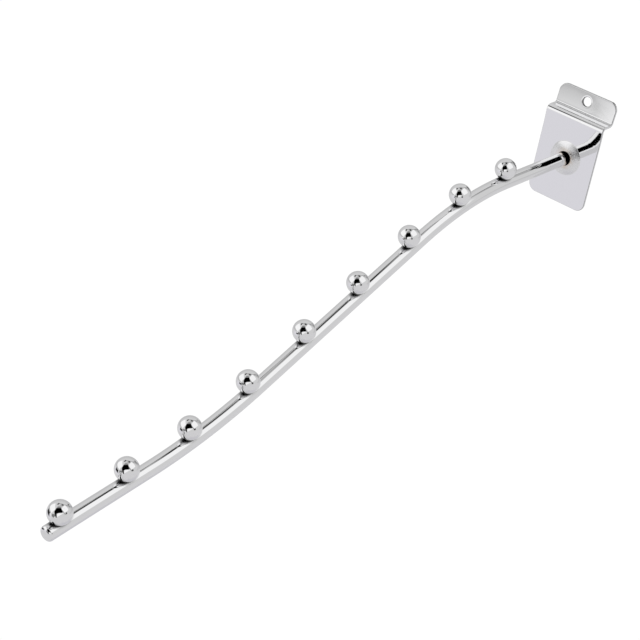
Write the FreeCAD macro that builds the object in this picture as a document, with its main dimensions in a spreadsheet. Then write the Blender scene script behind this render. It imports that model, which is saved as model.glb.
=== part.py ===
"""Slatwall waterfall hook: a folded back plate, a bent bar and a row of welded stop balls.

Millimetres. +X runs across the plate, +Y into the panel and +Z up. The origin is the corner of the
slat that the hook hangs on: X at the plate's middle, Y on the plate's back face and Z on the
underside of the web that passes through the panel's groove.
"""
import FreeCAD, Part

import math
import os
from dataclasses import dataclass

import Sketcher
from FreeCAD import Placement, Rotation, Vector

SIZES = (
    ("sheet", 2.0, "thickness of the plate's sheet"),
    ("plate_width", 49.0, "width of the plate and its tab"),
    ("plate_drop", 66.5, "bottom edge of the plate, below the web's underside"),
    ("plate_corner", 6.5, "radius of the plate's lower corners"),
    ("edge_round", 0.5, "rounding of the sheet's punched edges"),
    ("web_bend", 1.5, "inside radius of the bend from plate to web"),
    ("lip_gap", 8.5, "back face of the plate to the front of the tab's foot"),
    ("tab_bend", 1.5, "inside radius of the bend from web to tab"),
    ("tab_lean", 7.0, "lean of the tab away from the plate, in degrees"),
    ("tab_length", 14.6, "straight height of the tab along its front"),
    ("tab_corner", 6.5, "radius of the tab's upper corners"),
    ("tab_hole", 7.0, "diameter of the hole in the tab"),
    ("tab_hole_rise", 7.3, "centre of the tab's hole, along the tab from its foot"),
    ("dome_width", 25.6, "diameter of the pressed dome around the arm's root"),
    ("dome_rise", 2.4, "height of the dome over the plate's front"),
    ("dome_foot", 2.5, "radius at the foot of the dome"),
    ("arm_drop", 31.4, "axis of the arm's root, below the web's underside"),
    ("arm_width", 10.0, "diameter of the arm's bar"),
    ("arm_clearance", 0.1, "gap around the bar in the dome's hole"),
    ("root_recess", 0.5, "root end of the bar, short of the plate's back face"),
    ("root_run", 78.8, "back face of the plate to the first bend, along the arm"),
    ("fall_radius", 241.0, "centreline radius of the bend down"),
    ("fall_angle", 22.4, "angle of the bend down, in degrees"),
    ("slope_run", 159.7, "straight length between the bends"),
    ("rise_radius", 374.0, "centreline radius of the bend back up"),
    ("rise_angle", 14.8, "angle of the bend back up, in degrees"),
    ("tip_run", 78.5, "straight length from the last bend to the free end"),
    ("tip_round", 2.2, "rounding of the free end"),
    ("ball_width", 15.2, "diameter of a ball"),
    ("ball_sink", 1.55, "depth that a ball's weld sinks it into the bar"),
    ("tip_sink", 2.8, "the same for the last ball, which sits deeper"),
    ("ball_pitch", 52.15, "distance between balls along the bar's axis"),
    ("root_pitch", 50.0, "the same between the first two balls"),
    ("tip_pitch", 50.9, "the same between the last two balls"),
    ("ball_inset", 11.4, "last ball to the free end, along the bar's axis"),
    ("weld_leg", 2.4, "width of the root weld on the dome"),
    ("weld_height", 1.3, "height of the root weld on the bar"),
)
BALL_COUNT = 9
LEFT, RIGHT = 1, -1
START, END = 1, 2

doc = FreeCAD.newDocument("slatwall_hook")


def make_sheet():
    """Write the driving sizes to a sheet, one aliased cell each."""
    table = doc.addObject("Spreadsheet::Sheet", "Size")
    for row, (alias, value, note) in enumerate(SIZES, start=1):
        table.set(f"A{row}", note)
        table.set(f"B{row}", str(value))
        table.setAlias(f"B{row}", alias)
    doc.recompute()
    return table


size = make_sheet()


def value_of(expression):
    """Number that an expression over the sheet's cells gives."""
    return float(size.evalExpression(expression))


@dataclass(frozen=True)
class Corner:
    """Corner of an outline, and the edge from it to the next corner.

    The edge is straight without a radius. With one it is an arc that turns LEFT or RIGHT.
    """

    across: str
    up: str
    radius: str = ""
    turn: int = LEFT

    @property
    def first(self):
        """Vertex of the edge that lies at this corner. An arc's own order is to the left."""
        return START if self.turn == LEFT else END

    @property
    def last(self):
        """Vertex of the edge that lies at the next corner."""
        return END if self.turn == LEFT else START


def arc_between(start, end, radius, turn):
    """Arc under a half turn from start to end."""
    chord = end - start
    away = Vector(-chord.y, chord.x, 0).normalize() * turn
    centre = (start + end) * 0.5 + away * math.sqrt(radius ** 2 - (chord.Length / 2) ** 2)
    ends = (start, end) if turn == LEFT else (end, start)
    first, last = (math.atan2(point.y - centre.y, point.x - centre.x) for point in ends)
    if last < first:
        last += 2 * math.pi
    return Part.ArcOfCircle(Part.Circle(centre, Vector(0, 0, 1), radius), first, last)


def bind(sketch, kind, *where, to):
    """Add a dimension to a sketch and drive it by an expression."""
    index = sketch.addConstraint(Sketcher.Constraint(kind, *where, value_of(to)))
    sketch.setExpression(f"Constraints[{index}]", to)


def bind_angle(sketch, arc, to):
    """Drive the angle that an arc spans by an expression in degrees."""
    angle = math.radians(value_of(to))
    index = sketch.addConstraint(Sketcher.Constraint("Angle", arc, angle))
    sketch.setExpression(f"Constraints[{index}]", to)


def draw_outline(sketch, corners):
    """Draw a closed outline whose corners and radii follow the sheet."""
    points = [Vector(value_of(corner.across), value_of(corner.up), 0) for corner in corners]
    for index, corner in enumerate(corners):
        start, end = points[index], points[(index + 1) % len(points)]
        if corner.radius:
            sketch.addGeometry(arc_between(start, end, value_of(corner.radius), corner.turn))
            bind(sketch, "Radius", index, to=corner.radius)
        else:
            sketch.addGeometry(Part.LineSegment(start, end))
    for index, corner in enumerate(corners):
        before = (index - 1) % len(corners)
        joint = (before, corners[before].last, index, corner.first)
        sketch.addConstraint(Sketcher.Constraint("Coincident", *joint))
        bind(sketch, "DistanceX", -1, START, index, corner.first, to=corner.across)
        bind(sketch, "DistanceY", -1, START, index, corner.first, to=corner.up)


def make_body(label):
    """A body whose label is its node's name."""
    body = doc.addObject("PartDesign::Body", label)
    body.Label = label
    return body


def add_sketch(body, name, role, across="0", up="0", out="0"):
    """A sketch on one of the body's origin planes, shifted within it and out of it."""
    sketch = body.newObject("Sketcher::SketchObject", name)
    plane = next(item for item in body.Origin.OriginFeatures if item.Role == role)
    sketch.AttachmentSupport = (plane, [""])
    sketch.MapMode = "FlatFace"
    sketch.setExpression("AttachmentOffset.Base.x", across)
    sketch.setExpression("AttachmentOffset.Base.y", up)
    sketch.setExpression("AttachmentOffset.Base.z", out)
    return sketch


def add_turned(body, name, kind, corners):
    """A piece turned about the axis of the arm's root, or cut out by turning."""
    sketch = add_sketch(body, f"{name}_section", "YZ_Plane", up="-Size.arm_drop")
    draw_outline(sketch, corners)
    turned = body.newObject(kind, name)
    turned.Profile = sketch
    turned.ReferenceAxis = (sketch, ["H_Axis"])
    turned.Angle = 360
    doc.recompute()
    return turned


def add_hole(body, name, diameter, depth, base, turn):
    """A round hole from a base point, its axis turned about X from straight up."""
    hole = body.newObject("PartDesign::SubtractiveCylinder", name)
    hole.setExpression("Radius", f"({diameter}) / 2")
    hole.setExpression("Height", depth)
    hole.setExpression("Placement", f"placement({base}; rotation(vector(1; 0; 0); {turn}))")
    doc.recompute()
    return hole


def add_fillet(body, name, radius, base, places):
    """Round the edges of a feature whose middles lie nearest to the places."""
    edges = base.Shape.Edges
    names = []
    for place in places:
        gaps = [(edge.CenterOfMass - place).Length for edge in edges]
        names.append(f"Edge{gaps.index(min(gaps)) + 1}")
    fillet = body.newObject("PartDesign::Fillet", name)
    fillet.Base = (base, names)
    fillet.setExpression("Radius", radius)
    doc.recompute()
    return fillet


# Places on the folded section, in the plane across the plate
LEAN_COS = "cos(Size.tab_lean * 1 deg)"
LEAN_SIN = "sin(Size.tab_lean * 1 deg)"
WEB_END = f"(Size.lip_gap - Size.tab_bend * {LEAN_COS})"
FOOT_RISE = f"(Size.sheet + Size.tab_bend * (1 - {LEAN_SIN}))"


def on_tab(along, through="0"):
    """Y and Z of a point of the tab, along it from its foot and through it from its front."""
    return (
        f"Size.lip_gap + ({along}) * {LEAN_SIN} + ({through}) * {LEAN_COS}",
        f"{FOOT_RISE} + ({along}) * {LEAN_COS} - ({through}) * {LEAN_SIN}",
    )


# The dome is a cap of a ball, and its hollow a cap of a smaller ball about the same centre
DOME_RADIUS = "((Size.dome_width / 2) ^ 2 + Size.dome_rise ^ 2) / (2 * Size.dome_rise)"
HOLLOW_RADIUS = f"({DOME_RADIUS} - Size.sheet)"
HOLLOW_MOUTH = f"sqrt(2 * Size.dome_rise * {HOLLOW_RADIUS} - Size.dome_rise ^ 2)"


def hollow_depth(radius):
    """Y of the hollow's wall at a radius from the arm's axis."""
    return f"{HOLLOW_RADIUS} - Size.dome_rise - sqrt({HOLLOW_RADIUS} ^ 2 - ({radius}) ^ 2)"


def make_back_plate():
    """Sheet folded back through the groove and up behind the lip, with a dome for the arm."""
    body = make_body("back_plate")
    section = add_sketch(body, "plate_section", "YZ_Plane")
    bend, outer = "Size.web_bend", "Size.web_bend + Size.sheet"
    tab_outer = "Size.tab_bend + Size.sheet"
    draw_outline(section, [
        Corner("-Size.sheet", "-Size.plate_drop"),
        Corner("-Size.sheet", f"-{bend}", outer, RIGHT),
        Corner(bend, "Size.sheet"),
        Corner(WEB_END, "Size.sheet", "Size.tab_bend", LEFT),
        Corner(*on_tab("0")),
        Corner(*on_tab("Size.tab_length")),
        Corner(*on_tab("Size.tab_length", "Size.sheet")),
        Corner(*on_tab("0", "Size.sheet"), tab_outer, RIGHT),
        Corner(WEB_END, "0"),
        Corner(bend, "0", bend, LEFT),
        Corner("0", f"-{bend}"),
        Corner("0", "-Size.plate_drop"),
    ])
    fold = body.newObject("PartDesign::Pad", "fold")
    fold.Profile = section
    fold.SideType = "Symmetric"
    fold.setExpression("Length", "Size.plate_width")
    doc.recompute()

    half = value_of("Size.plate_width / 2")
    middle = value_of("-Size.sheet / 2")
    bottom = value_of("-Size.plate_drop")
    top_y, top_z = (value_of(place) for place in on_tab("Size.tab_length", "Size.sheet / 2"))
    lower = add_fillet(body, "lower_corners", "Size.plate_corner", fold,
                       [Vector(side * half, middle, bottom) for side in (-1, 1)])
    upper = add_fillet(body, "upper_corners", "Size.tab_corner", lower,
                       [Vector(side * half, top_y, top_z) for side in (-1, 1)])
    front = value_of("-Size.sheet")
    add_fillet(body, "edge_rounding", "Size.edge_round", upper,
               [Vector(0, front, bottom), Vector(0, 0, bottom)])

    add_turned(body, "dome", "PartDesign::Revolution", [
        Corner("-Size.sheet / 2", "0"),
        Corner("-Size.sheet - Size.dome_rise", "0", DOME_RADIUS, RIGHT),
        Corner("-Size.sheet", "Size.dome_width / 2"),
        Corner("-Size.sheet / 2", "Size.dome_width / 2"),
    ])
    hollow = add_turned(body, "hollow", "PartDesign::Groove", [
        Corner("Size.sheet / 2", "0"),
        Corner("-Size.dome_rise", "0", HOLLOW_RADIUS, RIGHT),
        Corner("0", HOLLOW_MOUTH),
        Corner("Size.sheet / 2", HOLLOW_MOUTH),
    ])
    add_fillet(body, "dome_foot", "Size.dome_foot", hollow, [Vector(0, front, -value_of("Size.arm_drop"))])
    add_hole(body, "arm_hole", "Size.arm_width + 2 * Size.arm_clearance",
             "Size.sheet + 2 * Size.dome_rise", "vector(0; 0; -Size.arm_drop)", "90")
    hole_y, hole_z = on_tab("Size.tab_hole_rise", "1.5 * Size.sheet")
    add_hole(body, "tab_hole", "Size.tab_hole", "2 * Size.sheet",
             f"vector(0; {hole_y}; {hole_z})", "90 - Size.tab_lean")
    return body


def make_arm():
    """Round bar: out from the plate, bent down, then bent a little back up to its free end."""
    body = make_body("arm_rod")
    path = add_sketch(body, "arm_path", "YZ_Plane")
    joints = [station(distance) for distance in run_ends()]
    points = [Vector(y, z, 0) for y, z, _ in joints]
    fall, rise = value_of("Size.fall_radius"), value_of("Size.rise_radius")
    path.addGeometry(Part.LineSegment(points[0], points[1]))
    path.addGeometry(arc_between(points[1], points[2], fall, LEFT))
    path.addGeometry(Part.LineSegment(points[2], points[3]))
    path.addGeometry(arc_between(points[3], points[4], rise, RIGHT))
    path.addGeometry(Part.LineSegment(points[4], points[5]))
    path.addConstraint(Sketcher.Constraint("Horizontal", 0))
    for joint in ((0, END, 1, START), (1, END, 2, START), (2, END, 3, END), (3, START, 4, START)):
        path.addConstraint(Sketcher.Constraint("Tangent", *joint))
    bind(path, "DistanceX", -1, START, 0, START, to="-Size.root_recess")
    bind(path, "DistanceY", -1, START, 0, START, to="-Size.arm_drop")
    bind(path, "Distance", 0, to="Size.root_run - Size.root_recess")
    bind(path, "Radius", 1, to="Size.fall_radius")
    bind_angle(path, 1, to="Size.fall_angle * 1 deg")
    bind(path, "Distance", 2, to="Size.slope_run")
    bind(path, "Radius", 3, to="Size.rise_radius")
    bind_angle(path, 3, to="Size.rise_angle * 1 deg")
    bind(path, "Distance", 4, to="Size.tip_run")

    ring = add_sketch(body, "arm_section", "XZ_Plane", up="-Size.arm_drop", out="Size.root_recess")
    ring.addGeometry(Part.Circle(Vector(0, 0, 0), Vector(0, 0, 1), value_of("Size.arm_width / 2")))
    ring.addConstraint(Sketcher.Constraint("Coincident", 0, 3, -1, START))
    bind(ring, "Diameter", 0, to="Size.arm_width")
    doc.recompute()

    bar = body.newObject("PartDesign::AdditivePipe", "bar")
    bar.Profile = ring
    bar.Spine = (path, [f"Edge{index + 1}" for index in range(5)])
    doc.recompute()
    add_fillet(body, "free_end", "Size.tip_round", bar, [Vector(0, points[5].x, points[5].y)])
    return body


def arm_runs():
    """Length and turn to the left, in radians, of each run of the bar from its root end."""
    fall = math.radians(value_of("Size.fall_angle"))
    rise = math.radians(value_of("Size.rise_angle"))
    return (
        (value_of("Size.root_run - Size.root_recess"), 0.0),
        (value_of("Size.fall_radius") * fall, fall),
        (value_of("Size.slope_run"), 0.0),
        (value_of("Size.rise_radius") * rise, -rise),
        (value_of("Size.tip_run"), 0.0),
    )


def run_ends():
    """Distances along the bar from its root end at which its runs start and end."""
    ends = [0.0]
    for length, _ in arm_runs():
        ends.append(ends[-1] + length)
    return ends


def station(distance):
    """Y, Z and fall, in radians, of the bar's axis at a distance from its root end."""
    y, z, fall = value_of("-Size.root_recess"), value_of("-Size.arm_drop"), 0.0
    left = distance
    for length, turn in arm_runs():
        step = min(left, length)
        share = turn * step / length
        chord = step if turn == 0 else 2 * math.sin(share / 2) * length / turn
        y -= chord * math.cos(fall + share / 2)
        z -= chord * math.sin(fall + share / 2)
        fall += share
        left -= step
    return y, z, fall


def ball_station(number):
    """Distance of a ball from the bar's root end, along its axis. Ball 1 is the one nearest the plate."""
    even = ["Size.ball_pitch"] * (BALL_COUNT - 3)
    gaps = ["Size.root_pitch", *even, "Size.tip_pitch"]
    from_end = value_of("Size.ball_inset") + sum(value_of(gap) for gap in gaps[number - 1:])
    return run_ends()[-1] - from_end


def make_ball(arm, number):
    """One stop ball, seated on the crown of the bar."""
    y, z, fall = station(ball_station(number))
    sink = "Size.tip_sink" if number == BALL_COUNT else "Size.ball_sink"
    lift = value_of(f"(Size.arm_width + Size.ball_width) / 2 - {sink}")
    whole = doc.addObject("Part::Sphere", f"whole_ball_{number}")
    whole.setExpression("Radius", "Size.ball_width / 2")
    centre = Vector(0, y - lift * math.sin(fall), z + lift * math.cos(fall))
    whole.Placement = Placement(centre, Rotation(Vector(1, 0, 0), math.degrees(fall)))
    ball = doc.addObject("Part::Cut", f"ball_{number}")
    ball.Label = f"ball_{number}"
    ball.Base = whole
    ball.Tool = arm
    return ball


def make_root_weld():
    """Bead in the dome's hollow that joins the bar to the plate."""
    body = make_body("root_weld")
    bar = "Size.arm_width / 2"
    toe = f"{bar} + Size.weld_leg"
    add_turned(body, "bead", "PartDesign::Revolution", [
        Corner(hollow_depth(bar), bar, HOLLOW_RADIUS, RIGHT),
        Corner(hollow_depth(toe), toe),
        Corner(f"{hollow_depth(bar)} + Size.weld_height", bar),
    ])
    return body


def check(pieces):
    """Stop if any object of the document failed, or a piece has no sound solid."""
    for item in doc.Objects:
        if "Invalid" in item.State or "Error" in item.State:
            raise RuntimeError(f"{item.Name} failed: {item.State}")
    for piece in pieces:
        shape = piece.Shape
        if shape.isNull() or not shape.isValid() or len(shape.Solids) != 1:
            raise RuntimeError(f"{piece.Label} isn't one valid solid")


back_plate = make_back_plate()
arm_rod = make_arm()
root_weld = make_root_weld()
balls = [make_ball(arm_rod, number) for number in range(1, BALL_COUNT + 1)]
doc.recompute()

pieces = [back_plate, arm_rod, root_weld, *balls]
check(pieces)
os.makedirs("parts", exist_ok=True)
for piece in pieces:
    piece.Shape.exportStep(f"parts/{piece.Label}.step")
    box = piece.Shape.BoundBox
    print(f"{piece.Label}: {piece.Shape.Volume:.1f} mm3, y {box.YMin:.2f} to {box.YMax:.2f}, "
          f"z {box.ZMin:.2f} to {box.ZMax:.2f}")
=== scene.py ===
"""Looks of a chromed slatwall hook: a folded plate, a bent bar and a row of stop balls.

Lengths are in metres, in the part's own frame: +X across the plate, +Y into the panel, +Z up.
"""

import logging
import math
from dataclasses import dataclass, field
from enum import Enum

import bmesh
import bpy
from mathutils import Matrix, Vector

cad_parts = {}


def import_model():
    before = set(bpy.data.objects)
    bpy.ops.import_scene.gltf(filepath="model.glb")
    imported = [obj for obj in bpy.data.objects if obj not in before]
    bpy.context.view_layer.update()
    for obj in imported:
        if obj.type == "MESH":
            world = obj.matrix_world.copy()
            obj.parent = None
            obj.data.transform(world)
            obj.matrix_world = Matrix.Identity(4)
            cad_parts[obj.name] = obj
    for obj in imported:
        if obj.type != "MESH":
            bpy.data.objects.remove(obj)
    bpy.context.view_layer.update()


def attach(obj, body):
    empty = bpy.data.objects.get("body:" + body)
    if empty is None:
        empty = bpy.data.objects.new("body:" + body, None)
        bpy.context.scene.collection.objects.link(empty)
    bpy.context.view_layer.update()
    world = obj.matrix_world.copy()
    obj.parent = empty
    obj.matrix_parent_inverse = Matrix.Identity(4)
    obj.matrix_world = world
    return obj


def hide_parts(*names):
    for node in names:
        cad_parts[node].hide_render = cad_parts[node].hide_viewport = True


LOG = logging.getLogger("hook")
MM = 0.001

# Brightness of the studio's white: the plating's base colour mirrors it as the photograph's light grey.
LEVEL = 0.714
AXIS_X = Vector((1.0, 0.0, 0.0))
AXIS_Y = Vector((0.0, 1.0, 0.0))
AXIS_Z = Vector((0.0, 0.0, 1.0))
CLEAN_UP = 0.001 * MM


class Node(Enum):
    """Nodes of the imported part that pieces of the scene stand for."""

    PLATE = "back_plate"
    ARM = "arm_rod"
    WELD = "root_weld"


class Slot(Enum):
    """Material slots of the record."""

    CHROME = "chrome_plating"


# Shaders


class Shader:
    """Small helper that adds and joins nodes in one node tree."""

    def __init__(self, tree: bpy.types.NodeTree) -> None:
        """Start from an empty tree.

        Args:
            tree: the material's or world's node tree.
        """
        self.tree = tree
        self.tree.nodes.clear()

    def add(self, kind: str, inputs: dict | None = None, **settings: object) -> bpy.types.Node:
        """Add a node.

        Args:
            kind: the node's type name.
            inputs: values or output sockets by input name or index.
            settings: properties of the node.

        Returns:
            The new node.
        """
        node = self.tree.nodes.new(kind)
        for name, value in settings.items():
            setattr(node, name, value)
        for name, value in (inputs or {}).items():
            if isinstance(value, bpy.types.NodeSocket):
                self.tree.links.new(value, node.inputs[name])
            else:
                node.inputs[name].default_value = value
        return node

    def math(self, operation: str, first: object, second: object = 0.0) -> bpy.types.NodeSocket:
        """Add a Math node.

        Args:
            operation: the node's operation.
            first: value or socket.
            second: value or socket.

        Returns:
            The node's output.
        """
        return self.add("ShaderNodeMath", {0: first, 1: second}, operation=operation).outputs[0]

    def ramp(self, value: bpy.types.NodeSocket, low: float, high: float, to_low: float,
             to_high: float) -> bpy.types.NodeSocket:
        """Map a value smoothly from one range to another, held at the ends.

        Args:
            value: the value to map.
            low: start of the range read.
            high: end of the range read.
            to_low: result at the start.
            to_high: result at the end.

        Returns:
            The mapped value.
        """
        node = self.add("ShaderNodeMapRange", {"Value": value, "From Min": low, "From Max": high,
                                               "To Min": to_low, "To Max": to_high},
                        interpolation_type="SMOOTHSTEP")
        return node.outputs[0]

    def mix_color(self, factor: object, first: object, second: object) -> bpy.types.NodeSocket:
        """Mix two colours.

        Args:
            factor: share of the second colour.
            first: colour or socket.
            second: colour or socket.

        Returns:
            The mixed colour.
        """
        node = self.add("ShaderNodeMix", {0: factor, 6: first, 7: second}, data_type="RGBA")
        return node.outputs[2]


@dataclass(frozen=True)
class ChromeFinish:
    """Bright nickel and chrome plating, with the faint marks of polishing and painted shade in its crevices.
    """

    name: str
    color: tuple[float, float, float] = (0.84, 0.84, 0.847)
    roughness: float = 0.03
    haze: float = 0.03
    crevice: float = 2.6 * MM
    crevice_shade: float = 0.05
    crevice_samples: int = 8
    # Painted shade: how dark the base colour gets where ambient occlusion finds a crevice.
    painted_shade_tone: float = 0.1
    cloud_scale: float = 140.0

    def build(self) -> bpy.types.Material:
        """Make the material.

        Returns:
            The new material.
        """
        material = bpy.data.materials.new(self.name)
        material.use_nodes = True
        shader = Shader(material.node_tree)
        place = shader.add("ShaderNodeTexCoord").outputs["Object"]
        color, roughness = self.color_of(shader, place), self.rough_of(shader, place)
        bsdf = shader.add("ShaderNodeBsdfPrincipled",
                          {"Base Color": color, "Metallic": 1.0, "Roughness": roughness})
        out = shader.add("ShaderNodeOutputMaterial")
        shader.tree.links.new(bsdf.outputs[0], out.inputs["Surface"])
        return material

    def rough_of(self, shader: Shader, place: bpy.types.NodeSocket) -> bpy.types.NodeSocket:
        """Roughness of the plating: cloudy where it was polished less.

        Args:
            shader: the material's shader.
            place: object coordinates.

        Returns:
            The socket that gives the roughness.
        """
        cloud = shader.add("ShaderNodeTexNoise", {"Vector": place, "Scale": self.cloud_scale, "Detail": 4.0,
                                                  "Roughness": 0.6})
        return shader.ramp(cloud.outputs["Fac"], 0.45, 0.75, self.roughness, self.roughness + self.haze)

    def color_of(self, shader: Shader, place: bpy.types.NodeSocket) -> bpy.types.NodeSocket:
        """Colour of the plating, with painted shade: darkened towards black by ambient occlusion in the
        crevices between the welded pieces and in inner corners, partly standing for dull plating at the
        welds.

        Args:
            shader: the material's shader.
            place: object coordinates.

        Returns:
            The socket that gives the colour.
        """
        # Painted shade: ambient occlusion darkens the base colour in crevices and inner corners, where shade
        # falls; at the welds it also stands for dull plating.
        nearby = shader.add("ShaderNodeAmbientOcclusion", {"Distance": self.crevice},
                            samples=self.crevice_samples)
        clear = shader.ramp(nearby.outputs["AO"], 0.50, 0.88, self.crevice_shade, 1.0)
        dark = tuple(part * self.painted_shade_tone for part in self.color)
        return shader.mix_color(clear, (*dark, 1.0), (*self.color, 1.0))


@dataclass(frozen=True)
class PlateFinish(ChromeFinish):
    """The plate's plating: rougher on the pressed dome, darkened with painted shade on its rounded rim and
    hole wall, tinted by heat around the bar.
    """

    root: tuple[float, float, float] = (0.0, 0.0, 0.0)
    dome_reach: float = 13.5 * MM
    dome_fade: float = 2.0 * MM
    dome_roughness: float = 0.20
    heat: tuple[float, float, float] = (0.72, 0.63, 0.54)
    heat_start: float = 5.0 * MM
    heat_reach: float = 9.5 * MM
    patch_scale: float = 420.0
    hole: tuple[float, float, float] = (0.0, 0.0, 10.5 * MM)
    hole_reach: float = 4.0 * MM
    # Painted shade on the rounded rim and the hole's wall: how dark the colour gets there.
    edge_shade: float = 0.30
    fold_low: float = -2.2 * MM
    fold_high: float = 4.2 * MM

    def distance(self, shader: Shader, place: bpy.types.NodeSocket,
                 point: tuple[float, float, float]) -> bpy.types.NodeSocket:
        """Distance from a line along Y, in metres.

        Args:
            shader: the material's shader.
            place: object coordinates.
            point: where the line crosses the plane Y = 0.

        Returns:
            The socket that gives the distance.
        """
        flat = shader.add("ShaderNodeVectorMath", {0: place, 1: (1.0, 0.0, 1.0)}, operation="MULTIPLY")
        return shader.add("ShaderNodeVectorMath", {0: flat.outputs["Vector"], 1: point},
                          operation="DISTANCE").outputs["Value"]

    def rim_shade_of(self, shader: Shader, place: bpy.types.NodeSocket) -> bpy.types.NodeSocket:
        """Share of the painted shade along the plate's edges: the rounded rim of the sheet and the hole's
        wall.

        Args:
            shader: the material's shader.
            place: object coordinates.

        Returns:
            The socket that gives the share.
        """
        normal = shader.add("ShaderNodeTexCoord").outputs["Normal"]
        split = shader.add("ShaderNodeSeparateXYZ", {0: normal})
        front = shader.math("ABSOLUTE", split.outputs["Y"])
        side = shader.math("ABSOLUTE", split.outputs["X"])
        height = shader.add("ShaderNodeSeparateXYZ", {0: place}).outputs["Z"]
        rounding = shader.math("MULTIPLY", shader.ramp(front, 0.25, 0.45, 0.0, 1.0),
                               shader.ramp(front, 0.80, 0.92, 1.0, 0.0))
        fold = shader.math("MULTIPLY", shader.math("GREATER_THAN", height, self.fold_low),
                           shader.math("LESS_THAN", height, self.fold_high))
        plain = shader.math("MULTIPLY", fold, shader.math("LESS_THAN", side, 0.15))
        rim = shader.math("MULTIPLY", rounding, shader.math("SUBTRACT", 1.0, plain))
        in_hole = shader.math("LESS_THAN", self.distance(shader, place, self.hole), self.hole_reach)
        wall = shader.math("MULTIPLY", in_hole, shader.math("LESS_THAN", front, 0.93))
        return shader.math("MAXIMUM", rim, wall)

    def rough_of(self, shader: Shader, place: bpy.types.NodeSocket) -> bpy.types.NodeSocket:
        """Roughness of the plate: that of the plating, and more on the dome.

        Args:
            shader: the material's shader.
            place: object coordinates.

        Returns:
            The socket that gives the roughness.
        """
        out = self.distance(shader, place, self.root)
        dome = shader.ramp(out, self.dome_reach - self.dome_fade, self.dome_reach, self.dome_roughness, 0.0)
        return shader.math("ADD", super().rough_of(shader, place), dome)

    def color_of(self, shader: Shader, place: bpy.types.NodeSocket) -> bpy.types.NodeSocket:
        """Colour of the plate: browned in patches around the bar and darkened along the edges with painted
        shade.

        Args:
            shader: the material's shader.
            place: object coordinates.

        Returns:
            The socket that gives the colour.
        """
        out = self.distance(shader, place, self.root)
        near = shader.ramp(out, self.heat_start, self.heat_reach, 1.0, 0.0)
        patch = shader.add("ShaderNodeTexNoise", {"Vector": place, "Scale": self.patch_scale, "Detail": 3.0})
        share = shader.math("MULTIPLY", near, shader.ramp(patch.outputs["Fac"], 0.35, 0.65, 0.25, 1.0))
        toned = shader.mix_color(share, super().color_of(shader, place), (*self.heat, 1.0))
        # Painted shade: the rounded rim and the hole's wall are darkened.
        rim_shade_color = tuple(part * self.edge_shade for part in self.color)
        return shader.mix_color(self.rim_shade_of(shader, place), toned, (*rim_shade_color, 1.0))


# Meshes


def new_piece(name: str, mesh: bmesh.types.BMesh, material: bpy.types.Material,
              node: str) -> bpy.types.Object:
    """Turn a finished mesh into a piece that stands for a node of the part.

    Args:
        name: the piece's name.
        mesh: the finished mesh, in the part's frame. It is freed.
        material: its finish.
        node: the node that the piece replaces.

    Returns:
        The new object.
    """
    data = bpy.data.meshes.new(name)
    mesh.to_mesh(data)
    mesh.free()
    data.polygons.foreach_set("use_smooth", [True] * len(data.polygons))
    data.materials.append(material)
    piece = bpy.data.objects.new(name, data)
    bpy.context.scene.collection.objects.link(piece)
    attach(piece, "root")
    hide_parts(node)
    LOG.info("%s: %d faces", name, len(data.polygons))
    return piece


def keep_flats(piece: bpy.types.Object) -> None:
    """Shade flats as flats: each corner's normal follows its largest faces."""
    weighted = piece.modifiers.new("flats", "WEIGHTED_NORMAL")
    weighted.mode = "FACE_AREA"
    weighted.weight = 60
    weighted.keep_sharp = True


def turned(mesh: bmesh.types.BMesh, geometry: list, centre: Vector, axis: Vector, angle: float, steps: int,
           merge: bool = False) -> list:
    """Spin geometry about an axis.

    Args:
        mesh: the mesh.
        geometry: vertices and edges to spin.
        centre: a point of the axis.
        axis: the axis's direction.
        angle: the turn in radians, by the right-hand rule.
        steps: number of steps.
        merge: join the last step to the first, for a full turn.

    Returns:
        The geometry at the end of the spin.
    """
    result = bmesh.ops.spin(mesh, geom=geometry, cent=centre, axis=axis, dvec=Vector((0, 0, 0)), angle=angle,
                            steps=steps, use_merge=merge, use_duplicate=False)
    return result["geom_last"]


def edges_in(geometry: list) -> list[bmesh.types.BMEdge]:
    """The edges among mixed geometry."""
    return [item for item in geometry if isinstance(item, bmesh.types.BMEdge)]


def verts_in(geometry: list) -> list[bmesh.types.BMVert]:
    """The vertices among mixed geometry."""
    return [item for item in geometry if isinstance(item, bmesh.types.BMVert)]


def pulled(mesh: bmesh.types.BMesh, edges: list[bmesh.types.BMEdge], way: Vector,
           steps: int = 1) -> list[bmesh.types.BMEdge]:
    """Extrude edges straight along a way.

    Args:
        mesh: the mesh.
        edges: the edges to extrude.
        way: the whole extrusion.
        steps: number of equal steps.

    Returns:
        The edges at its end.
    """
    for _ in range(steps):
        made = bmesh.ops.extrude_edge_only(mesh, edges=edges)["geom"]
        bmesh.ops.translate(mesh, verts=verts_in(made), vec=way / steps)
        edges = [edge for edge in edges_in(made) if len(edge.link_faces) == 1]
    return edges


# The arm


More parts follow.
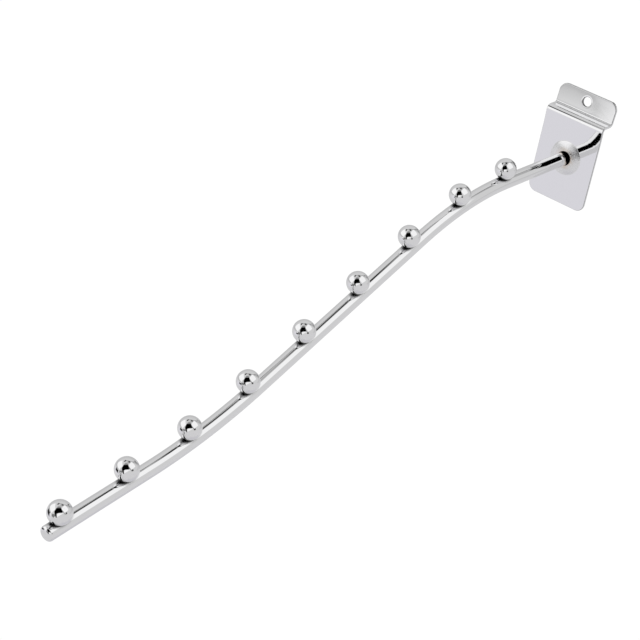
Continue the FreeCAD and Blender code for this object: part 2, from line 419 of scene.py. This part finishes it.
@dataclass
class Arm:
    """The round bar: out from the plate, bent down, then bent a little back up."""

    finish: ChromeFinish
    drop: float = 31.4 * MM
    width: float = 10.0 * MM
    recess: float = 0.5 * MM
    root_run: float = 78.8 * MM
    fall_radius: float = 241.0 * MM
    fall: float = math.radians(22.4)
    slope_run: float = 159.7 * MM
    rise_radius: float = 374.0 * MM
    rise: float = math.radians(14.8)
    tip_run: float = 78.5 * MM
    tip_round: float = 2.2 * MM
    around: int = 128
    run_step: float = 12.0 * MM
    turn_step: float = math.radians(0.35)
    tip_steps: int = 14

    def runs(self) -> tuple[tuple[float, float], ...]:
        """Length and fall of each run of the bar, from its root end."""
        return (
            (self.root_run - self.recess, 0.0),
            (self.fall_radius * self.fall, self.fall),
            (self.slope_run, 0.0),
            (self.rise_radius * self.rise, -self.rise),
            (self.tip_run, 0.0),
        )

    def length(self) -> float:
        """Length of the bar along its axis."""
        return sum(length for length, _ in self.runs())

    def station(self, distance: float) -> tuple[Vector, float]:
        """Point of the bar's axis and its fall there.

        Args:
            distance: distance along the axis from the root end.

        Returns:
            The point, and the fall in radians.
        """
        point, fall, left = Vector((0.0, -self.recess, -self.drop)), 0.0, distance
        for length, turn in self.runs():
            step = min(left, length)
            share = turn * step / length
            chord = step if turn == 0 else 2 * math.sin(share / 2) * length / turn
            middle = fall + share / 2
            point -= Vector((0.0, chord * math.cos(middle), chord * math.sin(middle)))
            fall += share
            left -= step
        return point, fall

    def build(self) -> bpy.types.Object:
        """Make the bar by pushing a ring along its path.

        Returns:
            The bar.
        """
        mesh = bmesh.new()
        start = Vector((0.0, -self.recess, -self.drop))
        facing = Matrix.Translation(start) @ Matrix.Rotation(math.pi / 2, 4, "X")
        bmesh.ops.create_circle(mesh, cap_ends=True, segments=self.around, radius=self.width / 2,
                                matrix=facing)
        ring, travelled = mesh.edges[:], 0.0
        for length, turn in self.runs():
            point, fall = self.station(travelled)
            way = Vector((0.0, -math.cos(fall), -math.sin(fall)))
            if turn == 0:
                ring = pulled(mesh, ring, way * length, round(length / self.run_step))
            else:
                side = math.copysign(1.0, turn)
                across = Vector((0.0, math.sin(fall), -math.cos(fall))) * side
                centre = point + across * abs(length / turn)
                steps = round(abs(turn) / self.turn_step)
                ring = edges_in(turned(mesh, ring, centre, AXIS_X, turn, steps))
            travelled += length
        cap = bmesh.ops.contextual_create(mesh, geom=ring)["faces"][0]
        bmesh.ops.bevel(mesh, geom=list(cap.edges), offset=self.tip_round, offset_type="OFFSET",
                        segments=self.tip_steps, profile=0.5, affect="EDGES", material=-1,
                        clamp_overlap=False)
        bmesh.ops.recalc_face_normals(mesh, faces=mesh.faces[:])
        piece = new_piece("bar", mesh, self.finish.build(), Node.ARM.value)
        keep_flats(piece)
        return piece


# The balls


@dataclass
class BallRow:
    """Stop balls welded in a row along the crown of the bar."""

    arm: Arm
    finish: ChromeFinish
    count: int = 9
    width: float = 15.2 * MM
    sink: float = 1.55 * MM
    tip_sink: float = 2.8 * MM
    pitch: float = 52.15 * MM
    root_pitch: float = 50.0 * MM
    tip_pitch: float = 50.9 * MM
    inset: float = 11.4 * MM
    fineness: int = 6

    def above(self, number: int, lift: float) -> tuple[Vector, float]:
        """Point over the bar's axis at a ball.

        Args:
            number: the ball's number, from 1 at the plate.
            lift: height over the axis.

        Returns:
            The point, and the bar's fall there in radians.
        """
        gaps = [self.root_pitch] + [self.pitch] * (self.count - 3) + [self.tip_pitch]
        point, fall = self.arm.station(self.arm.length() - self.inset - sum(gaps[number - 1:]))
        return point + Vector((0.0, -math.sin(fall), math.cos(fall))) * lift, fall

    def centre(self, number: int) -> tuple[Vector, float]:
        """Centre of a ball, and the bar's fall under it."""
        sink = self.tip_sink if number == self.count else self.sink
        return self.above(number, (self.arm.width + self.width) / 2 - sink)

    def build(self) -> list[bpy.types.Object]:
        """Make the balls.

        Returns:
            One object for each ball.
        """
        material = self.finish.build()
        pieces = []
        for number in range(1, self.count + 1):
            point, fall = self.centre(number)
            mesh = bmesh.new()
            place = Matrix.Translation(point) @ Matrix.Rotation(fall, 4, "X")
            bmesh.ops.create_icosphere(mesh, subdivisions=self.fineness, radius=self.width / 2, matrix=place)
            pieces.append(new_piece(f"stop_ball_{number}", mesh, material, f"ball_{number}"))
        return pieces


# The plate


@dataclass
class Plate:
    """Folded sheet with a dome around the bar: flat, web and tab are one sheet of even thickness."""

    arm: Arm
    finish: ChromeFinish
    sheet: float = 2.0 * MM
    width: float = 49.0 * MM
    drop: float = 66.5 * MM
    corner: float = 6.5 * MM
    web_bend: float = 1.5 * MM
    lip_gap: float = 8.5 * MM
    tab_bend: float = 1.5 * MM
    lean: float = math.radians(7.0)
    tab_length: float = 14.6 * MM
    tab_corner: float = 6.5 * MM
    tab_hole: float = 7.0 * MM
    tab_hole_rise: float = 7.3 * MM
    edge_round: float = 0.5 * MM
    dome_width: float = 25.6 * MM
    dome_rise: float = 2.4 * MM
    dome_foot: float = 2.5 * MM
    dome_border: float = 1.5 * MM
    clearance: float = 0.1 * MM
    margin: float = 1.4 * MM
    bow_start: float = 17.8 * MM
    bow_depth: float = 0.50 * MM
    bow_power: float = 2.0
    bow_steps: int = 16
    around: int = 96
    dome_steps: int = 10
    foot_steps: int = 6
    corner_steps: int = 14
    bend_steps: int = 12
    hole_steps: int = 64
    round_steps: int = 4

    def build(self) -> bpy.types.Object:
        """Make the sheet's front surface, then give it its thickness and its rounded rim.

        Returns:
            The plate.
        """
        mesh = bmesh.new()
        ring = self.add_dome(mesh)
        top = self.add_flat(mesh, ring)
        self.add_web(mesh, top)
        self.add_tab(mesh)
        self.bow(mesh)
        bmesh.ops.remove_doubles(mesh, verts=mesh.verts[:], dist=10 * CLEAN_UP)
        bmesh.ops.recalc_face_normals(mesh, faces=mesh.faces[:])
        flat = max(mesh.faces, key=lambda face: face.calc_area())
        if flat.normal.y > 0:
            bmesh.ops.reverse_faces(mesh, faces=mesh.faces[:])
        piece = new_piece("plate", mesh, self.finish.build(), Node.PLATE.value)
        wall = piece.modifiers.new("sheet", "SOLIDIFY")
        wall.thickness = self.sheet
        wall.offset = -1.0
        wall.use_even_offset = True
        rim = piece.modifiers.new("rim", "BEVEL")
        rim.width = self.edge_round
        rim.segments = self.round_steps
        rim.limit_method = "ANGLE"
        rim.angle_limit = math.radians(60)
        keep_flats(piece)
        return piece

    def add_dome(self, mesh: bmesh.types.BMesh) -> list[bmesh.types.BMEdge]:
        """Add the dome by turning its section about the bar's axis.

        Args:
            mesh: the plate's mesh.

        Returns:
            The edges of the ring around the dome's foot.
        """
        half = self.dome_width / 2
        radius = (half ** 2 + self.dome_rise ** 2) / (2 * self.dome_rise)
        middle = Vector((0.0, -self.sheet - self.dome_rise + radius, -self.arm.drop))
        reach = radius + self.dome_foot
        foot_height = self.dome_foot - (self.dome_rise - radius)
        foot_out = math.sqrt(reach ** 2 - foot_height ** 2)
        foot = Vector((0.0, -self.sheet - self.dome_foot, -self.arm.drop + foot_out))
        start_angle = math.asin((self.arm.width / 2 + self.clearance) / radius)
        end_angle = math.asin(foot_out / reach)
        first = middle + Vector((0.0, -radius * math.cos(start_angle), radius * math.sin(start_angle)))
        section = [mesh.verts.new(first)]
        last = turned(mesh, section, middle, AXIS_X, start_angle - end_angle, self.dome_steps)
        last = turned(mesh, verts_in(last), foot, AXIS_X, end_angle, self.foot_steps)
        end = verts_in(last)[0]
        outer = mesh.verts.new(end.co + AXIS_Z * self.dome_border)
        mesh.edges.new((end, outer))
        axis_point = Vector((0.0, 0.0, -self.arm.drop))
        turned(mesh, mesh.verts[:] + mesh.edges[:], axis_point, AXIS_Y, 2 * math.pi, self.around, merge=True)
        bmesh.ops.remove_doubles(mesh, verts=mesh.verts[:], dist=CLEAN_UP)
        out = outer.co.z - axis_point.z
        return [edge for edge in mesh.edges if len(edge.link_faces) == 1
                and all((vert.co - Vector((0.0, vert.co.y, axis_point.z))).length > out - 0.05 * MM
                        for vert in edge.verts)]

    def add_panel(self, mesh: bmesh.types.BMesh, height: float, corner: float, place: Matrix,
                  ring: list[bmesh.types.BMEdge]) -> list[bmesh.types.BMEdge]:
        """Add a flat with two rounded corners around a ring.

        Args:
            mesh: the plate's mesh.
            height: the flat's height.
            corner: radius of the two corners away from the fold.
            place: where the flat goes. Before that it stands on X, from y = 0 at the fold up to its height.
            ring: border edges of what it surrounds.

        Returns:
            The edges along the fold.
        """
        before = set(mesh.verts)
        made = bmesh.ops.create_grid(mesh, x_segments=1, y_segments=1, size=0.5)["verts"]
        bmesh.ops.translate(mesh, verts=made, vec=Vector((0.0, 0.5, 0.0)))
        bmesh.ops.scale(mesh, verts=made, vec=Vector((self.width, height, 1.0)))
        far = [vert for vert in made if vert.co.y > height / 2]
        near = [vert for vert in made if vert.co.y < height / 2]
        bmesh.ops.bevel(mesh, geom=far, offset=corner, offset_type="OFFSET", segments=self.corner_steps,
                        profile=0.5, affect="VERTICES", material=-1, clamp_overlap=False)
        face = near[0].link_faces[0]
        bmesh.ops.inset_region(mesh, faces=[face], thickness=self.margin, use_even_offset=True,
                               use_boundary=True)
        fold = [edge for edge in mesh.edges if not any(vert in before for vert in edge.verts)
                and all(abs(vert.co.y) < 1e-7 for vert in edge.verts)]
        border = list(face.edges)
        bmesh.ops.delete(mesh, geom=[face], context="FACES_ONLY")
        bmesh.ops.transform(mesh, matrix=place, verts=[vert for vert in mesh.verts if vert not in before])
        bmesh.ops.triangle_fill(mesh, edges=border + ring, use_beauty=True)
        return fold

    def add_flat(self, mesh: bmesh.types.BMesh, ring: list[bmesh.types.BMEdge]) -> list[bmesh.types.BMEdge]:
        """Add the main flat around the dome.

        Args:
            mesh: the plate's mesh.
            ring: the edges around the dome.

        Returns:
            The edges at the web's bend.
        """
        height = self.drop - self.arm.drop + self.bow_start
        place = (Matrix.Translation((0.0, -self.sheet, self.bow_start - self.arm.drop))
                 @ Matrix.Rotation(-math.pi / 2, 4, "X"))
        edges = self.add_panel(mesh, height, self.corner, place, ring)
        return pulled(mesh, edges, AXIS_Z * (self.arm.drop - self.bow_start - self.web_bend), self.bow_steps)

    def add_web(self, mesh: bmesh.types.BMesh, top: list[bmesh.types.BMEdge]) -> None:
        """Fold the sheet back over the slat and up behind the lip.

        Args:
            mesh: the plate's mesh.
            top: the edges at the web's bend.
        """
        outer = Vector((0.0, self.web_bend, -self.web_bend))
        last = turned(mesh, top, outer, AXIS_X, -math.pi / 2, self.bend_steps)
        end = self.lip_gap - self.tab_bend * math.cos(self.lean)
        edges = pulled(mesh, edges_in(last), AXIS_Y * (end - self.web_bend))
        inner = Vector((0.0, end, self.sheet + self.tab_bend))
        turned(mesh, edges, inner, AXIS_X, math.pi / 2 - self.lean, self.bend_steps)

    def bow(self, mesh: bmesh.types.BMesh) -> None:
        """Push the sheet a little forward towards the web's bend, as the folding tool leaves it.

        Args:
            mesh: the plate's mesh.
        """
        start, fold, end = self.bow_start - self.arm.drop, -self.web_bend, self.sheet
        for vert in mesh.verts:
            if vert.co.y > self.web_bend or vert.co.z <= start:
                continue
            if vert.co.z < fold:
                share = ((vert.co.z - start) / (fold - start)) ** self.bow_power
            else:
                share = (end - vert.co.z) / (end - fold)
            vert.co.y -= self.bow_depth * max(0.0, share)

    def add_tab(self, mesh: bmesh.types.BMesh) -> None:
        """Add the leaning tab with its hole.

        Args:
            mesh: the plate's mesh.
        """
        low = self.sheet + self.tab_bend * (1 - math.sin(self.lean))
        place = (Matrix.Translation((0.0, self.lip_gap, low))
                 @ Matrix.Rotation(math.pi / 2 - self.lean, 4, "X"))
        hole = Matrix.Translation((0.0, self.tab_hole_rise, 0.0))
        rim = bmesh.ops.create_circle(mesh, cap_ends=False, segments=self.hole_steps,
                                      radius=self.tab_hole / 2, matrix=place @ hole)["verts"]
        edges = list({edge for vert in rim for edge in vert.link_edges})
        made = bmesh.ops.extrude_edge_only(mesh, edges=edges)["geom"]
        grown = (self.tab_hole / 2 + self.margin) / (self.tab_hole / 2)
        bmesh.ops.scale(mesh, verts=verts_in(made), vec=Vector((grown, grown, grown)),
                        space=(place @ hole).inverted())
        ring = [edge for edge in edges_in(made) if len(edge.link_faces) == 1]
        self.add_panel(mesh, self.tab_length, self.tab_corner, place, ring)


# The weld behind the dome


@dataclass
class RootWeld:
    """Bead in the dome's hollow around the end of the bar."""

    plate: Plate
    finish: ChromeFinish
    leg: float = 2.4 * MM
    height: float = 1.3 * MM

    def build(self) -> bpy.types.Object:
        """Make the bead by turning its section about the bar's axis.

        Returns:
            The bead.
        """
        plate = self.plate
        half = plate.dome_width / 2
        outer = (half ** 2 + plate.dome_rise ** 2) / (2 * plate.dome_rise)
        wall = outer - plate.sheet
        bar = plate.arm.width / 2
        depths = [wall - plate.dome_rise - math.sqrt(wall ** 2 - out ** 2) for out in (bar, bar + self.leg)]
        mesh = bmesh.new()
        corners = [
            mesh.verts.new((0.0, depths[0], -plate.arm.drop + bar)),
            mesh.verts.new((0.0, depths[1], -plate.arm.drop + bar + self.leg)),
            mesh.verts.new((0.0, depths[0] + self.height, -plate.arm.drop + bar)),
        ]
        for first, second in zip(corners, corners[1:] + corners[:1]):
            mesh.edges.new((first, second))
        centre = Vector((0.0, 0.0, -plate.arm.drop))
        turned(mesh, mesh.verts[:] + mesh.edges[:], centre, AXIS_Y, 2 * math.pi, plate.around, merge=True)
        bmesh.ops.remove_doubles(mesh, verts=mesh.verts[:], dist=CLEAN_UP)
        bmesh.ops.recalc_face_normals(mesh, faces=mesh.faces[:])
        return new_piece("root_bead", mesh, self.finish.build(), Node.WELD.value)


# The studio


@dataclass(frozen=True)
class Card:
    """A soft-edged reflector or lamp of the studio that the chrome mirrors and the camera doesn't see."""

    name: str
    centre: tuple[float, float, float]
    width: float
    height: float
    strength: float
    soft: float = 0.12
    color: tuple[float, float, float] = (1.0, 1.0, 1.0)
    outline: tuple[tuple[float, float], ...] = ()
    along: tuple[float, float, float] = (0.0, 0.0, 0.0)

    def turn(self, target: Vector) -> Matrix:
        """Rotation that turns the card's face to a point and its width along its own way, or level.

        Args:
            target: the point that it faces.

        Returns:
            The rotation.
        """
        facing = (target - Vector(self.centre)).normalized()
        level = AXIS_Z.cross(facing) if abs(facing.z) < 0.99 else AXIS_X
        side = Vector(self.along) if any(self.along) else level
        side = (side - facing * side.dot(facing)).normalized()
        return Matrix((side, facing.cross(side), facing)).transposed().to_4x4()

    def points(self) -> tuple[tuple[float, float], ...]:
        """Corners of the card in its own plane, to the right and up as the camera sees it."""
        half_width, half_height = self.width / 2, self.height / 2
        return self.outline or ((-half_width, -half_height), (half_width, -half_height),
                                (half_width, half_height), (-half_width, half_height))

    def mesh(self) -> bpy.types.Mesh:
        """Make the card's mesh: full cover inside, none at the edge.

        Returns:
            The mesh, with its cover as a point attribute.
        """
        mesh = bmesh.new()
        cover = mesh.verts.layers.float.new("cover")
        mesh.faces.new([mesh.verts.new((right, up, 0.0)) for right, up in self.points()])
        bmesh.ops.bevel(mesh, geom=mesh.verts[:], offset=self.soft * 0.6, offset_type="OFFSET", segments=5,
                        profile=0.5, affect="VERTICES", material=-1, clamp_overlap=True)
        face = mesh.faces[:][0]
        bmesh.ops.inset_region(mesh, faces=[face], thickness=self.soft, use_even_offset=True,
                               use_boundary=True)
        inner = max(mesh.faces, key=lambda each: len(each.verts))
        for vert in inner.verts:
            vert[cover] = 1.0
        data = bpy.data.meshes.new(self.name)
        mesh.to_mesh(data)
        mesh.free()
        return data

    def material(self) -> bpy.types.Material:
        """Make the card's material: it glows where it covers and is clear elsewhere.

        Returns:
            The material.
        """
        material = bpy.data.materials.new(self.name)
        material.use_nodes = True
        shader = Shader(material.node_tree)
        cover = shader.add("ShaderNodeAttribute", attribute_name="cover").outputs["Fac"]
        share = shader.ramp(cover, 0.0, 1.0, 0.0, 1.0)
        clear = shader.add("ShaderNodeBsdfTransparent")
        glow = shader.add("ShaderNodeEmission",
                          {"Color": (*self.color, 1.0), "Strength": self.strength * LEVEL})
        mixed = shader.add("ShaderNodeMixShader", {0: share, 1: clear.outputs[0], 2: glow.outputs[0]})
        out = shader.add("ShaderNodeOutputMaterial")
        shader.tree.links.new(mixed.outputs[0], out.inputs["Surface"])
        return material


@dataclass
class Studio:
    """Camera, pale floor, soft lamps and the surroundings that the chrome mirrors."""

    cards: tuple[Card, ...]
    front_cards: tuple[Card, ...]
    lens: float = 92.812
    eye: Vector = field(default_factory=lambda: Vector((0.529172, -1.004861, 0.435689)))
    right: Vector = field(default_factory=lambda: Vector((0.7467422976, 0.6461946005, 0.1575070768)))
    down: Vector = field(default_factory=lambda: Vector((0.4306648408, -0.2893011169, -0.8548875123)))
    middle: Vector = field(default_factory=lambda: Vector((0.0, -0.27, -0.07)))
    floor_level: float = -0.62
    floor_reach: float = 30.0
    table: tuple[float, float, float] = (1.03, 1.025, 1.04)
    far_side: float = 0.80
    white: float = 1.09
    glow_share: float = 0.85
    front_step: float = 4.0 * MM

    def camera_turn(self) -> Matrix:
        """Rotation of the camera from its right, its up and the way back from what it sees.

        Returns:
            The rotation.
        """
        right = self.right.normalized()
        up = (-self.down).normalized()
        return Matrix((right, up, right.cross(up).normalized())).transposed().to_4x4()

    def add_camera(self) -> None:
        """Put the camera where the photograph was taken."""
        data = bpy.data.cameras.new("camera")
        data.lens = self.lens
        data.sensor_width = 36.0
        data.clip_start = 0.01
        data.clip_end = 100.0
        camera = bpy.data.objects.new("camera", data)
        bpy.context.scene.collection.objects.link(camera)
        camera.matrix_world = Matrix.Translation(self.eye) @ self.camera_turn()
        bpy.context.scene.camera = camera

    def add_world(self) -> None:
        """Surround the object with white, which its plating mirrors a little darker on the far side."""
        world = bpy.data.worlds.new("studio")
        bpy.context.scene.world = world
        world.use_nodes = True
        shader = Shader(world.node_tree)
        way = shader.add("ShaderNodeTexCoord").outputs["Generated"]
        back = -self.right.cross(self.down).normalized()
        side = shader.add("ShaderNodeVectorMath", {0: way, 1: back}, operation="DOT_PRODUCT")
        level = shader.ramp(side.outputs["Value"], -0.95, -0.2, self.far_side * LEVEL, LEVEL)
        seen = shader.add("ShaderNodeLightPath").outputs["Is Camera Ray"]
        level = shader.math("MAXIMUM", level, seen)
        light = shader.add("ShaderNodeBackground", {"Color": (1.0, 1.0, 1.0, 1.0), "Strength": level})
        out = shader.add("ShaderNodeOutputWorld")
        shader.tree.links.new(light.outputs[0], out.inputs["Surface"])

    def add_floor(self) -> None:
        """Lay a wide, plain, pale floor that keeps the object's shadow."""
        mesh = bmesh.new()
        bmesh.ops.create_grid(mesh, x_segments=1, y_segments=1, size=self.floor_reach,
                              matrix=Matrix.Translation(AXIS_Z * self.floor_level))
        data = bpy.data.meshes.new("floor")
        mesh.to_mesh(data)
        mesh.free()
        material = bpy.data.materials.new("pale floor")
        material.use_nodes = True
        shader = Shader(material.node_tree)
        matte = shader.add("ShaderNodeBsdfDiffuse", {"Color": (0.92, 0.92, 0.92, 1.0)})
        path = shader.add("ShaderNodeLightPath")
        camera, glossy = path.outputs["Is Camera Ray"], path.outputs["Is Glossy Ray"]
        place = shader.add("ShaderNodeTexCoord").outputs["Object"]
        ahead = self.right.cross(self.down).normalized()
        along = shader.add("ShaderNodeVectorMath", {0: place, 1: ahead}, operation="DOT_PRODUCT")
        far = shader.ramp(along.outputs["Value"], 0.3, 2.0, 0.0, 1.0)
        near_tone = tuple(part * LEVEL for part in self.table)
        far_tone = tuple(part * self.far_side for part in near_tone)
        mirrored = shader.mix_color(far, (*near_tone, 1.0), (*far_tone, 1.0))
        tone = shader.mix_color(camera, mirrored, (self.white, self.white, self.white, 1.0))
        glow = shader.add("ShaderNodeEmission", {"Color": tone, "Strength": 1.0})
        share = shader.math("MULTIPLY", shader.math("MAXIMUM", camera, glossy), self.glow_share)
        mixed = shader.add("ShaderNodeMixShader", {0: share, 1: matte.outputs[0], 2: glow.outputs[0]})
        out = shader.add("ShaderNodeOutputMaterial")
        shader.tree.links.new(mixed.outputs[0], out.inputs["Surface"])
        data.materials.append(material)
        floor = bpy.data.objects.new("floor", data)
        bpy.context.scene.collection.objects.link(floor)

    def add_card(self, card: Card, turn: Matrix) -> None:
        """Hang a card.

        Args:
            card: the card.
            turn: its rotation.
        """
        data = card.mesh()
        data.materials.append(card.material())
        piece = bpy.data.objects.new(card.name, data)
        piece.matrix_world = Matrix.Translation(card.centre) @ turn
        bpy.context.scene.collection.objects.link(piece)
        piece.visible_camera = False

    def build(self) -> None:
        """Set up the whole studio."""
        bpy.context.scene.view_settings.view_transform = "Standard"
        self.add_camera()
        self.add_world()
        self.add_floor()
        for card in self.cards:
            self.add_card(card, card.turn(self.middle))
        forward = self.right.cross(self.down).normalized()
        for place, card in enumerate(self.front_cards):
            self.add_card(card, Matrix.Translation(forward * place * self.front_step) @ self.camera_turn())


def band(name: str, start: tuple[float, float, float], end: tuple[float, float, float], width: float,
         strength: float, soft: float) -> Card:
    """A narrow card that runs from one point to another.

    Args:
        name: its name.
        start: one end.
        end: the other end.
        width: its width.
        strength: its glow.
        soft: width of its soft edge.

    Returns:
        The card.
    """
    first, second = Vector(start), Vector(end)
    way = second - first
    return Card(name, tuple((first + second) / 2), way.length, width, strength, soft=soft, along=tuple(way))


# Point in front of the lens around which the cards at the camera are laid out.
GAP_CENTRE = (0.4308, -0.8703, 0.3502)
LAVENDER = (0.985, 0.975, 1.03)

# Lamps, roof, stands, tabletop and a painted shadow of the hook on it, as the balls mirror them.
STUDIO_CARDS = (
    Card("lamp right", (0.67, -0.05, 0.80), 1.30, 1.15, 1.47),
    Card("lamp left", (-1.40, -1.40, 0.70), 2.40, 1.90, 1.52, soft=0.25),
    Card("ceiling", (0.0, -0.25, 1.55), 1.40, 1.40, 0.85, soft=0.45),
    Card("roof middle", (-0.10, -0.10, 1.45), 0.62, 0.62, 0.55, soft=0.25),
    band("roof bar", (-0.45, -0.37, 0.60), (0.03, 0.04, 0.60), 0.07, 0.12, 0.02),
    band("roof seam", (0.03, 0.0, 0.60), (0.08, 0.45, 0.60), 0.06, 0.06, 0.02),
    band("back seam", (0.10, 0.44, 0.60), (0.0, 0.86, 0.40), 0.07, 0.05, 0.02),
    band("back post", (-0.04, 0.86, 0.42), (-0.07, 0.86, -0.24), 0.42, 0.0, 0.08),
    Card("roof clamp left", (-0.41, -0.37, 0.59), 0.32, 0.20, 0.0, soft=0.06),
    Card("roof clamp right", (-0.02, -0.18, 0.59), 0.24, 0.20, 0.0, soft=0.06),
    Card("tent back", (0.27, 0.85, 0.60), 0.40, 1.10, 0.62, soft=0.18),
    Card("stand right", (0.356, -0.37, -0.01), 0.14, 0.13, 0.02, soft=0.04),
    band("stand leg", (0.61, -0.66, 0.42), (0.356, -0.37, -0.01), 0.06, 0.04, 0.02),
    Card("stand left", (-0.120, -0.54, -0.165), 0.13, 0.08, 0.02, soft=0.025),
    Card("horizon left", (-1.10, -0.90, -0.12), 1.60, 0.34, 0.78, soft=0.12),
    Card("wall foot", (-0.78, -1.60, -0.38), 0.70, 0.44, 1.38, soft=0.10),
    Card("table left", (-0.50, -0.78, -0.60), 0.90, 1.00, 1.12, soft=0.25, color=LAVENDER),
    # Painted shadow: a dimmer card under the hook stands in for its shadow on the tabletop in the chrome's
    # reflections.
    Card("painted shadow below", (0.02, -0.25, -0.60), 0.90, 0.90, 0.90, soft=0.35, color=LAVENDER),
)

# The dark gap that the camera looks through and the edges of the tent around it. Each one is a little farther
# from the camera than the one before it.
FRONT_CARDS = (
    Card("camera gap", GAP_CENTRE, 0.0, 0.0, 0.0, soft=0.10,
         outline=((0.40, -0.02), (0.30, 0.36), (0.22, 0.70), (-0.56, 0.70), (-0.70, 0.38), (-0.80, 0.10),
                  (-0.74, -0.20), (-0.56, -0.42), (-0.30, -0.26), (0.12, -0.22))),
    Card("gap top", GAP_CENTRE, 0.0, 0.0, 0.26, soft=0.20,
         outline=((0.26, 0.58), (0.18, 1.15), (-0.46, 1.15), (-0.58, 0.58))),
    Card("tent foot", GAP_CENTRE, 0.0, 0.0, 0.30, soft=0.12,
         outline=((-0.55, -0.16), (-0.45, -0.38), (-0.62, -0.62), (-0.90, -0.95), (-1.90, -1.0),
                  (-1.90, -0.22))),
    Card("tent flap", GAP_CENTRE, 0.0, 0.0, 1.45, soft=0.05,
         outline=((0.40, -0.10), (0.22, -0.06), (0.0, -0.06), (-0.20, -0.08), (-0.36, -0.15),
                  (-0.50, -0.27), (-0.66, -0.46), (-0.95, -0.85), (-0.78, -0.88), (-0.54, -0.56),
                  (-0.40, -0.40), (-0.24, -0.28), (-0.05, -0.22), (0.16, -0.21), (0.38, -0.24))),
    Card("gap leg", GAP_CENTRE, 0.0, 0.0, 0.02, soft=0.04,
         outline=((-0.34, -0.20), (-0.39, -0.70), (-0.64, -0.70), (-0.60, -0.20))),
)


def main() -> None:
    """Load the part, dress it and set up the studio."""
    logging.basicConfig(level=logging.INFO, format="%(name)s: %(message)s")
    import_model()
    chrome = ChromeFinish("chrome")
    arm = Arm(ChromeFinish("bar chrome", crevice=4.0 * MM))
    plate = Plate(arm, PlateFinish("plate chrome", crevice=1.6 * MM, root=(0.0, 0.0, -arm.drop)))
    balls = BallRow(arm, ChromeFinish("ball chrome"))
    arm.build()
    balls.build()
    plate.build()
    RootWeld(plate, chrome).build()
    Studio(STUDIO_CARDS, FRONT_CARDS).build()


if __name__ == "__main__":
    main()
